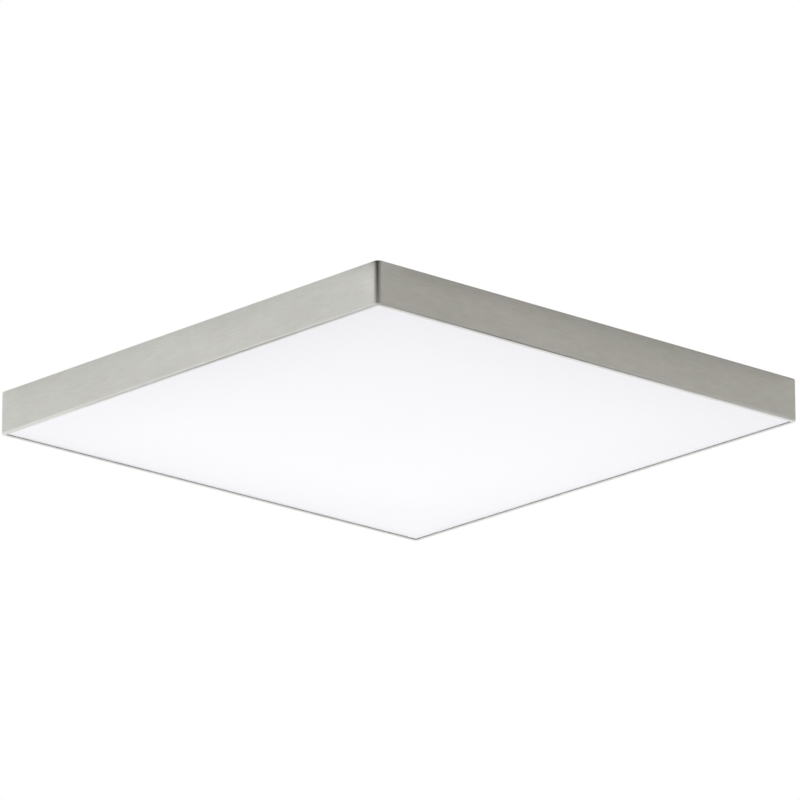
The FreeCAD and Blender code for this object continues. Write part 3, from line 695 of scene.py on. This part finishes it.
# paint, plastic, rubber and foam: a colour that drifts a little over the surface, a fine skin and its sheen
skins = {
    # powder coat, baked on the pan: the melt leaves a soft orange peel and an even half gloss
    "white_powder_coat": {"name": "whitePowderCoat", "light": "F0F0ED", "dark": "ECECE8", "drift": 140 * mm,
                          "skin": 1.6 * mm, "relief": 0.035 * mm, "roughness": (0.38, 0.48), "coat": 0.15},
    # highly reflective matt coat on the tray: chalky, with almost no sheen
    "white_reflector": {"name": "mattReflectorCoat", "light": "F7F7F5", "dark": "F2F2F0", "drift": 160 * mm,
                        "skin": 0.9 * mm, "relief": 0.012 * mm, "roughness": (0.62, 0.72), "coat": 0.0},
    # baked enamel on the driver's case: thin, so it is smoother and glossier than powder
    "driver_steel": {"name": "greyEnamel", "light": "DEDEDA", "dark": "D4D4CF", "drift": 60 * mm,
                     "skin": 2.4 * mm, "relief": 0.015 * mm, "roughness": (0.26, 0.34), "coat": 0.3},
    # moulded nylon from a spark-eroded mould: a fine even grain that takes the edge off the gloss
    "white_nylon": {"name": "whiteNylon", "light": "EAE7DC", "dark": "E0DDD0", "drift": 12 * mm,
                    "skin": 0.35 * mm, "relief": 0.012 * mm, "roughness": (0.40, 0.50), "coat": 0.0},
    "grey_nylon": {"name": "greyNylon", "light": "A3A8A9", "dark": "979C9E", "drift": 14 * mm,
                   "skin": 0.35 * mm, "relief": 0.012 * mm, "roughness": (0.42, 0.52), "coat": 0.0},
    "orange_nylon": {"name": "orangeNylon", "light": "E8701F", "dark": "DB6315", "drift": 6 * mm,
                     "skin": 0.35 * mm, "relief": 0.010 * mm, "roughness": (0.36, 0.46), "coat": 0.0},
    "black_nylon": {"name": "blackNylon", "light": "2B2B2B", "dark": "202020", "drift": 8 * mm,
                    "skin": 0.35 * mm, "relief": 0.012 * mm, "roughness": (0.44, 0.54), "coat": 0.0},
    # shrink sleeve on the capacitors: thin glossy film drawn tight
    "capacitor_sleeve": {"name": "shrinkSleeve", "light": "1F2C42", "dark": "18233A", "drift": 9 * mm,
                         "skin": 3.0 * mm, "relief": 0.02 * mm, "roughness": (0.22, 0.30), "coat": 0.4},
    # extruded PVC on the leads: smooth along, with faint ripples from the crosshead
    "black_lead": {"name": "blackPvc", "light": "2A2A2A", "dark": "1D1D1D", "drift": 18 * mm,
                   "skin": 1.2 * mm, "relief": 0.01 * mm, "roughness": (0.34, 0.42), "coat": 0.0},
    "white_lead": {"name": "whitePvc", "light": "EFEEEA", "dark": "E5E4DE", "drift": 18 * mm,
                   "skin": 1.2 * mm, "relief": 0.01 * mm, "roughness": (0.34, 0.42), "coat": 0.0},
    "green_lead": {"name": "greenPvc", "light": "1C6E38", "dark": "145C2D", "drift": 18 * mm,
                   "skin": 1.2 * mm, "relief": 0.01 * mm, "roughness": (0.34, 0.42), "coat": 0.0},
    "red_lead": {"name": "redPvc", "light": "B3201C", "dark": "9C1814", "drift": 18 * mm,
                 "skin": 1.2 * mm, "relief": 0.01 * mm, "roughness": (0.34, 0.42), "coat": 0.0},
    # closed-cell foam tape: open cut cells give a dry, pitted edge
    "grey_foam": {"name": "foamTape", "light": "7F7F7E", "dark": "6C6C6B", "drift": 5 * mm,
                  "skin": 0.5 * mm, "relief": 0.08 * mm, "roughness": (0.85, 0.95), "coat": 0.0},
    # sintered ferrite: hard, dark and slightly grainy, ground on its faces
    "ferrite": {"name": "sinteredFerrite", "light": "3A3A3D", "dark": "2C2C2F", "drift": 7 * mm,
                "skin": 0.3 * mm, "relief": 0.015 * mm, "roughness": (0.45, 0.60), "coat": 0.0},
    # phosphor in clear silicone over the LED chips: waxy and saturated
    "led_phosphor": {"name": "phosphorSilicone", "light": "F5D867", "dark": "EDCB50", "drift": 2 * mm,
                     "skin": 0.2 * mm, "relief": 0.01 * mm, "roughness": (0.30, 0.40), "coat": 0.0},
}


def skinMaterial(look):
    material, tree, shader = newMaterial(look["name"])
    place = addNode(tree, "ShaderNodeTexCoord").outputs["Object"]
    drift = spread(tree, grainOf(tree, place, look["drift"], detail=3.0), 0.0, 1.0)
    colour = addNode(tree, "ShaderNodeMix", {0: drift, 6: srgb(look["dark"]), 7: srgb(look["light"])},
                     data_type="RGBA").outputs[2]
    skin = grainOf(tree, place, look["skin"])
    rough = spread(tree, skin, *look["roughness"])
    bump = addNode(tree, "ShaderNodeBump", {"Height": skin, "Distance": look["relief"]})
    for name, source in (("Base Color", colour), ("Roughness", rough), ("Normal", bump.outputs[0])):
        tree.links.new(source, shader.inputs[name])
    shader.inputs["Coat Weight"].default_value = look["coat"]
    return material


# bare and plated metal: rolled or barrel plated, never polished
metals = {
    # bright zinc plate, barrel plated: a cool silver with faint cloudy patches from the passivation
    "zinc_steel": {"name": "zincPlatedSteel", "light": "CDD2D7", "dark": "B4BBC1", "cloud": 9 * mm,
                   "line": (3 * mm, 3 * mm, 3 * mm), "relief": 0.012 * mm, "roughness": (0.28, 0.42)},
    # cold-rolled spring strip: grey, with fine rolling lines and an oily half gloss
    "spring_steel": {"name": "rolledSpringSteel", "light": "B2B4B5", "dark": "9A9C9E", "cloud": 14 * mm,
                     "line": (14 * mm, 14 * mm, 0.5 * mm), "relief": 0.008 * mm, "roughness": (0.26, 0.36)},
    # tinned brass: soft warm silver, a little uneven where the tin has flowed
    "tinned_brass": {"name": "tinnedBrass", "light": "D2CBB4", "dark": "BFB79E", "cloud": 4 * mm,
                     "line": (2 * mm, 2 * mm, 2 * mm), "relief": 0.010 * mm, "roughness": (0.24, 0.36)},
}


def metalMaterial(look):
    material, tree, shader = newMaterial(look["name"])
    place = addNode(tree, "ShaderNodeTexCoord").outputs["Object"]
    cloud = spread(tree, grainOf(tree, place, look["cloud"], detail=4.0), 0.0, 1.0)
    colour = addNode(tree, "ShaderNodeMix", {0: cloud, 6: srgb(look["dark"]), 7: srgb(look["light"])},
                     data_type="RGBA").outputs[2]
    line = grainOf(tree, place, look["line"])
    rough = spread(tree, line, *look["roughness"])
    bump = addNode(tree, "ShaderNodeBump", {"Height": line, "Distance": look["relief"]})
    for name, source in (("Base Color", colour), ("Roughness", rough), ("Normal", bump.outputs[0])):
        tree.links.new(source, shader.inputs[name])
    shader.inputs["Metallic"].default_value = 1.0
    return material


# solder mask over copper: glossy lacquer that stands a little higher where the tracks run under it; width is
# the tracks' share of their pitch, and slope half the width of the rise at their edges
boards = {
    "white_board": {"name": "whiteSolderMask", "mask": "F3F4F2", "track": "E6E8E6",
                    "pitch": (9 * mm, 86 * mm), "width": 0.62, "slope": 0.1 * mm, "relief": 0.035 * mm,
                    "skin": 1.5 * mm, "roughness": (0.34, 0.42)},
    "green_board": {"name": "greenSolderMask", "mask": "1E5B32", "track": "2F7444",
                    "pitch": (4 * mm, 11 * mm), "width": 0.45, "slope": 0.1 * mm, "relief": 0.035 * mm,
                    "skin": 1.5 * mm, "roughness": (0.24, 0.32)},
}


def boardMaterial(look):
    material, tree, shader = newMaterial(look["name"])
    place = addNode(tree, "ShaderNodeTexCoord").outputs["Object"]
    apart = addNode(tree, "ShaderNodeSeparateXYZ", {0: place})
    edges = []
    for axis, pitch in zip(("X", "Y"), look["pitch"]):
        wave = addNode(tree, "ShaderNodeMath", {0: apart.outputs[axis], 1: pitch / 2}, operation="PINGPONG")
        edge = look["width"] * pitch / 2
        edges.append(addNode(tree, "ShaderNodeMapRange",
                             {"Value": wave.outputs[0], "From Min": edge - look["slope"],
                              "From Max": edge + look["slope"]}).outputs[0])
    gap = addNode(tree, "ShaderNodeMath", {0: edges[0], 1: edges[1]}, operation="MAXIMUM")
    track = addNode(tree, "ShaderNodeMath", {0: 1.0, 1: gap.outputs[0]}, operation="SUBTRACT").outputs[0]
    colour = addNode(tree, "ShaderNodeMix", {0: track, 6: srgb(look["mask"]), 7: srgb(look["track"])},
                     data_type="RGBA").outputs[2]
    skin = grainOf(tree, place, look["skin"])
    rough = spread(tree, skin, *look["roughness"])
    bump = addNode(tree, "ShaderNodeBump", {"Height": track, "Distance": look["relief"]})
    for name, source in (("Base Color", colour), ("Roughness", rough), ("Normal", bump.outputs[0])):
        tree.links.new(source, shader.inputs[name])
    return material


# clear acrylic lens, moulded: glass-clear, with faint flow lines from the gate
lensLook = {"colour": "F4F8FA", "flow": 3.5 * mm, "relief": 0.02 * mm, "roughness": (0.05, 0.10)}


def clearAcrylic(look):
    material, tree, shader = newMaterial("clearAcrylic")
    place = addNode(tree, "ShaderNodeTexCoord").outputs["Object"]
    flow = grainOf(tree, place, look["flow"])
    rough = spread(tree, flow, *look["roughness"])
    bump = addNode(tree, "ShaderNodeBump", {"Height": flow, "Distance": look["relief"]})
    tree.links.new(rough, shader.inputs["Roughness"])
    tree.links.new(bump.outputs[0], shader.inputs["Normal"])
    shader.inputs["Base Color"].default_value = srgb(look["colour"])
    shader.inputs["Transmission Weight"].default_value = 1.0
    shader.inputs["IOR"].default_value = acrylicIor
    return material


finishes = {slot: skinMaterial(look) for slot, look in skins.items()}
finishes.update({slot: metalMaterial(look) for slot, look in metals.items()})
finishes.update({slot: boardMaterial(look) for slot, look in boards.items()})
finishes["clear_acrylic"] = clearAcrylic(lensLook)
print("finishes made,", len(finishes))


# trim frame: one strip of sheet, folded and then bent round the square

trimPlan = {
    "sheet": 1.0 * mm,
    "foot": 2.0 * mm,           # outside radius of the bend between wall and lip
    "corner": 6.6 * mm,         # outside radius of the upright corners
    "hem": 6.0 * mm,
    "lip": 5.0 * mm,
    "edge": 0.15 * mm,          # broken edge of the cut sheet
    "footSteps": 10,
    "edgeSteps": 3,
    "cornerSteps": 20,
    "support": 1.2 * mm,        # from a bend to the first row on the flat beside it
}


def trimSection(plan):
    # the strip's outline across a side, as (out from the outer face, down from the ceiling)
    top = -frameHigh.z
    bottom = -frameLow.z
    sheet, foot, edge, support = plan["sheet"], plan["foot"], plan["edge"], plan["support"]
    edgeSteps = plan["edgeSteps"]
    inner = -plan["lip"]
    points = [(0.0, bottom - foot - support), (0.0, top + sheet + support)]
    points += arcPoints((-sheet, top + sheet), sheet, 0, -180, plan["footSteps"])
    hemFoot = top + plan["hem"]
    points += arcPoints((-2 * sheet + edge, hemFoot - edge), edge, 180, 90, edgeSteps)
    points += [(-sheet, hemFoot), (-sheet, bottom - foot - support)]
    points += arcPoints((-foot, bottom - foot), foot - sheet, 0, 90, plan["footSteps"])
    points += [(-foot - 2 * edge, bottom - sheet)]
    points += arcPoints((inner + edge, bottom - sheet + edge), edge, 270, 180, edgeSteps)
    points += arcPoints((inner + edge, bottom - edge), edge, 180, 90, edgeSteps)
    points += [(-foot - 2 * edge, bottom)]
    points += arcPoints((-foot, bottom - foot), foot, 90, 0, plan["footSteps"])
    return points


def trimPath(plan):
    # the outer face seen from above: four runs and four bends, anticlockwise
    centre = frameHigh.x - plan["corner"]
    start = centre - plan["support"]
    points = []
    for quarter in range(4):
        turn = Matrix.Rotation(math.pi / 2 * quarter, 2)
        bend = arcPoints((centre, centre), plan["corner"], 0, 90, plan["cornerSteps"])
        points += [turn @ Vector(p) for p in [(frameHigh.x, start)] + bend + [(start, frameHigh.x)]]
    return points


def cutEdgeRun(points, lip):
    # the middle of the lip's cut edge, measured along the section from its start, and half its height
    runs = [0.0]
    for first, second in zip(points, points[1:]):
        runs.append(runs[-1] + math.dist(first, second))
    ends = [run for run, point in zip(runs, points) if abs(point[0] + lip) < tiny]
    return (ends[0] + ends[-1]) / 2, (ends[-1] - ends[0]) / 2


section = trimSection(trimPlan)
finishes["brushed_nickel"] = brushedNickel(nickelLook, *cutEdgeRun(section, trimPlan["lip"]))
trim = grown("trimFrame", sweep, {"Path": closedLine("trimPath", trimPath(trimPlan)),
                                  "Section": closedLine("trimSection", section),
                                  "Finish": finishes["brushed_nickel"]})
smooth(trim, smoothAngle)
finishPiece(trim, "frame", "brushed_nickel", "trim_frame")


# diffuser: a flat sheet of acrylic with polished edges and clipped corners

diffuserPlan = {"edge": 0.35 * mm, "steps": 3, "clip": 3.0 * mm, "smoothAngle": 20}


def diffuserSheet(plan):
    low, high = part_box("diffuser_panel")
    reach = high.x
    cut = reach - plan["clip"]
    bm = bmesh.new()
    outline = []
    for quarter in range(4):
        turn = Matrix.Rotation(math.pi / 2 * quarter, 3, "Z")
        outline += [turn @ Vector((reach, cut, 0)), turn @ Vector((cut, reach, 0))]
    rows = [[bm.verts.new((p.x, p.y, z)) for p in outline] for z in (low.z, high.z)]
    bm.faces.new(rows[0][::-1])
    bm.faces.new(rows[1])
    for i in range(len(outline)):
        j = (i + 1) % len(outline)
        bm.faces.new((rows[0][i], rows[0][j], rows[1][j], rows[1][i]))
    bmesh.ops.bevel(bm, geom=bm.edges[:], offset=plan["edge"], segments=plan["steps"], profile=0.5,
                    affect="EDGES")
    return bm


finishes["opal_acrylic"] = opalAcrylic(opalLook, frameHigh.x - trimPlan["lip"])
diffuser = meshPiece("diffuser", diffuserSheet(diffuserPlan), finishes["opal_acrylic"],
                     diffuserPlan["smoothAngle"])
finishPiece(diffuser, "frame", "opal_acrylic", "diffuser_panel")


# LED lenses, LEDs and what holds the boards, all on the boards' grid

boardPlan = {
    "pitch": 86.0 * mm,
    "count": 7,
    "rivetCount": 6,            # one between each pair of LEDs on a board
    "lensSides": 32,
    "lensAngle": 40,
    "lensGap": 0.03 * mm,       # the glue's thickness between lens and board
    "lensHollow": 2.2,          # radius of the hollow over the LED, in mm
    "lensHollowRise": 0.6,      # its height as a share of that
    "lensHollowSteps": 6,
    "ledSide": 3.0 * mm,
    "ledEdge": 0.12 * mm,
    "roundSides": 20,
    # half sections in mm, as (radius, height) from pole to pole: a wide low dome with a rim at its foot and a
    # dimple at its crown, the phosphor on an LED's face, and a push-in rivet with the mark of its pin
    "lens": [(7.5, 0.0), (7.5, -0.7), (7.0, -0.8), (6.9, -1.7), (6.5, -2.8), (5.8, -3.8), (4.8, -4.5),
             (3.6, -4.9), (2.4, -4.95), (1.2, -4.75), (0.0, -4.6)],
    "phosphor": [(0.0, 0.02), (1.2, 0.02), (1.2, -0.03), (0.72, -0.07), (0.0, -0.09)],
    "rivet": [(0.0, 0.1), (2.4, 0.1), (2.5, -0.3), (2.1, -0.8), (1.3, -1.05), (0.9, -1.05), (0.8, -0.85),
              (0.0, -0.8)],
}
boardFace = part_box("led_board_1")[0].z
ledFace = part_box("led_packages")[0].z


def lensBody(plan):
    hollow = arcPoints((0.0, 0.0), plan["lensHollow"], -90, 0, plan["lensHollowSteps"])
    hollow = [(radius, height * plan["lensHollowRise"]) for radius, height in hollow]
    return turned(inMetres(hollow + plan["lens"]), plan["lensSides"])


def ledBody(plan, height):
    # a square white case with a broken edge
    bm = bmesh.new()
    size = Matrix.Diagonal((plan["ledSide"], plan["ledSide"], height, 1))
    bmesh.ops.create_cube(bm, size=1.0, matrix=size)
    bmesh.ops.translate(bm, verts=bm.verts, vec=(0, 0, -height / 2))
    bmesh.ops.bevel(bm, geom=bm.edges[:], offset=plan["ledEdge"], segments=2, profile=0.5, affect="EDGES")
    return bm


ledCount = [boardPlan["count"]] * 2
ledPitch = [boardPlan["pitch"]] * 2
lenses = copiesOf("ledLenses", lensBody(boardPlan), finishes["clear_acrylic"], ledCount, ledPitch,
                  (0, 0, boardFace - boardPlan["lensGap"]), angle=boardPlan["lensAngle"])
finishPiece(lenses, "housing", "clear_acrylic", "led_lenses")
leds = copiesOf("ledCases", ledBody(boardPlan, boardFace - ledFace), finishes["white_nylon"], ledCount,
                ledPitch, (0, 0, boardFace))
finishPiece(leds, "housing", "white_nylon", "led_packages")
phosphorBody = turned(inMetres(boardPlan["phosphor"]), boardPlan["roundSides"])
phosphor = copiesOf("ledPhosphor", phosphorBody, finishes["led_phosphor"], ledCount, ledPitch,
                    (0, 0, ledFace))
finishPiece(phosphor, "housing", "led_phosphor")
rivetBody = turned(inMetres(boardPlan["rivet"]), boardPlan["roundSides"])
rivets = copiesOf("boardRivets", rivetBody, finishes["white_nylon"],
                  (boardPlan["count"], boardPlan["rivetCount"]), ledPitch, (0, 0, boardFace))
finishPiece(rivets, "housing", "white_nylon")


# tray screws: hexagon heads on a flange, with a threaded shank

screwPlan = {"spacing": (444.0 * mm, 360.0 * mm), "flange": 4.0 * mm, "flangeThick": 0.7 * mm,
             "head": 3.3 * mm, "headEdge": 0.35 * mm, "shank": 2.0 * mm, "thread": 0.35 * mm,
             "threadPitch": 0.7 * mm, "sides": 36,
             "sideShare": 0.8}      # what lies further out than this share of the head's radius is its side


def screwBody(plan, top, seat, bottom):
    # turned from the shank's end down to the head, then the head's side is cut to six flats
    head, edge, pitch = plan["head"], plan["headEdge"], plan["threadPitch"]
    core = plan["shank"] - plan["thread"]
    points = [(0.0, top), (core, top)]
    z = top
    while z - pitch > seat:
        points += [(plan["shank"], z - pitch / 2), (core, z - pitch)]
        z -= pitch
    points += [(core, seat), (plan["flange"], seat), (plan["flange"], seat - plan["flangeThick"] * 0.5),
               (head, seat - plan["flangeThick"]), (head, bottom + edge), (head - edge, bottom),
               (0.0, bottom)]
    bm = turned(points, plan["sides"])
    flat = head * math.cos(math.pi / 6)
    side = head * plan["sideShare"]
    for v in bm.verts:
        if v.co.z < seat - plan["flangeThick"] + tiny and Vector(v.co.xy).length > side:
            angle = math.atan2(v.co.y, v.co.x)
            off = (angle + math.pi / 6) % (math.pi / 3) - math.pi / 6
            reach = min(Vector(v.co.xy).length, flat / math.cos(off))
            v.co.x, v.co.y = reach * math.cos(angle), reach * math.sin(angle)
    return bm


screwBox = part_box("tray_screws")
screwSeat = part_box("led_board_1")[1].z     # the tray's face, which the boards lie on too
screws = copiesOf("trayScrews", screwBody(screwPlan, screwBox[1].z, screwSeat, screwBox[0].z),
                  finishes["zinc_steel"], (2, 2), screwPlan["spacing"], (0, 0, 0))
finishPiece(screws, "housing", "zinc_steel", "tray_screws")


# rivets on the leaf catches, and weld marks on the corner braces

marks = {
    "rivetSpacing": 24.0 * mm,
    "rivetLevel": -21.8 * mm,
    "leaf": 0.4 * mm,           # thickness of a catch's leaf, which lies on the pan's wall
    "weldSpread": 578.0 * mm,   # between the welds near the two ends of one side
    "weldRise": 11.0 * mm,
    "weldLevel": -23.0 * mm,
    "sides": 24,
    # half sections in mm: a rivet's dome, and the dimple and raised ring that a spot weld leaves
    "rivet": [(0.0, -0.1), (2.0, -0.1), (2.0, 0.25), (1.6, 0.65), (0.9, 0.9), (0.0, 0.98)],
    "weld": [(0.0, -0.05), (2.7, -0.05), (2.7, 0.01), (2.3, 0.06), (1.9, 0.01), (0.0, -0.01)],
}
outwards = (math.pi / 2, 0.0, math.pi / 2)      # stands a level grid up on the +X side, facing out
inwards = (-math.pi / 2, 0.0, math.pi / 2)
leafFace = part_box("ceiling_pan")[1].x + marks["leaf"]
rivetDome = turned(inMetres(marks["rivet"]), marks["sides"])
catchRivets = copiesOf("catchRivets", rivetDome, finishes["zinc_steel"], (2, 1), (marks["rivetSpacing"], 0.0),
                       (leafFace, 0, marks["rivetLevel"]), outwards, turns=4)
finishPiece(catchRivets, "housing", "zinc_steel")
braceFace = frameHigh.x - 2 * trimPlan["sheet"]
weldMark = turned(inMetres(marks["weld"]), marks["sides"])
welds = copiesOf("braceWelds", weldMark, finishes["zinc_steel"], (2, 2),
                 (marks["weldSpread"], marks["weldRise"]), (braceFace, 0, marks["weldLevel"]), inwards,
                 turns=4)
finishPiece(welds, "frame", "zinc_steel")


# the other nodes: a copy of each with its edges broken, in place of the node

edgePlan = {
    "merge": 1e-6,              # metres, points closer than this are one
    "flat": 0.5,                # degrees, faces that turn less than this are one face
    "sharp": 30,                # degrees, edges that turn more than this are broken
    "steps": 2,
}
edgeOf = {          # width of the broken edge in mm
    "ceiling_pan": 0.15, "led_tray": 0.15, "tray_rail_1": 0.15, "tray_rail_2": 0.15, "driver_base": 0.15,
    "driver_case": 0.2, "terminal_body": 0.45, "feed_connector": 0.25, "bridge_connectors": 0.25,
    "release_button_1": 0.3, "release_button_2": 0.3, "release_button_3": 0.3, "ground_lug": 0.12,
    "stud_nuts": 0.25, "lead_bushings": 0.2, "driver_transformer": 0.3, "bus_board": 0.1,
    "corner_brace_1": 0.15, "corner_brace_2": 0.15, "corner_brace_3": 0.15, "corner_brace_4": 0.15,
}


def camelName(node):
    words = node.split("_")
    return words[0] + "".join(w.capitalize() for w in words[1:])


def brokenEdges(node, width):
    bm = bmesh.new()
    bm.from_mesh(cadNodes[node].data)
    bmesh.ops.remove_doubles(bm, verts=bm.verts, dist=edgePlan["merge"])
    bmesh.ops.dissolve_limit(bm, angle_limit=math.radians(edgePlan["flat"]), verts=bm.verts, edges=bm.edges)
    piece = meshPiece(camelName(node), bm, finishes[slotOf[node]])
    bevel = piece.modifiers.new("brokenEdges", "BEVEL")
    bevel.width = width
    bevel.segments = edgePlan["steps"]
    bevel.limit_method = "ANGLE"
    bevel.angle_limit = math.radians(edgePlan["sharp"])
    bevel.harden_normals = True
    keepResult(piece)
    return piece


for node, width in edgeOf.items():
    finishPiece(brokenEdges(node, width * mm), bodyOf[node], slotOf[node], node)

for name, node in cadNodes.items():
    for place in node.material_slots:
        place.material = finishes[slotOf[name]]
print("nodes dressed")
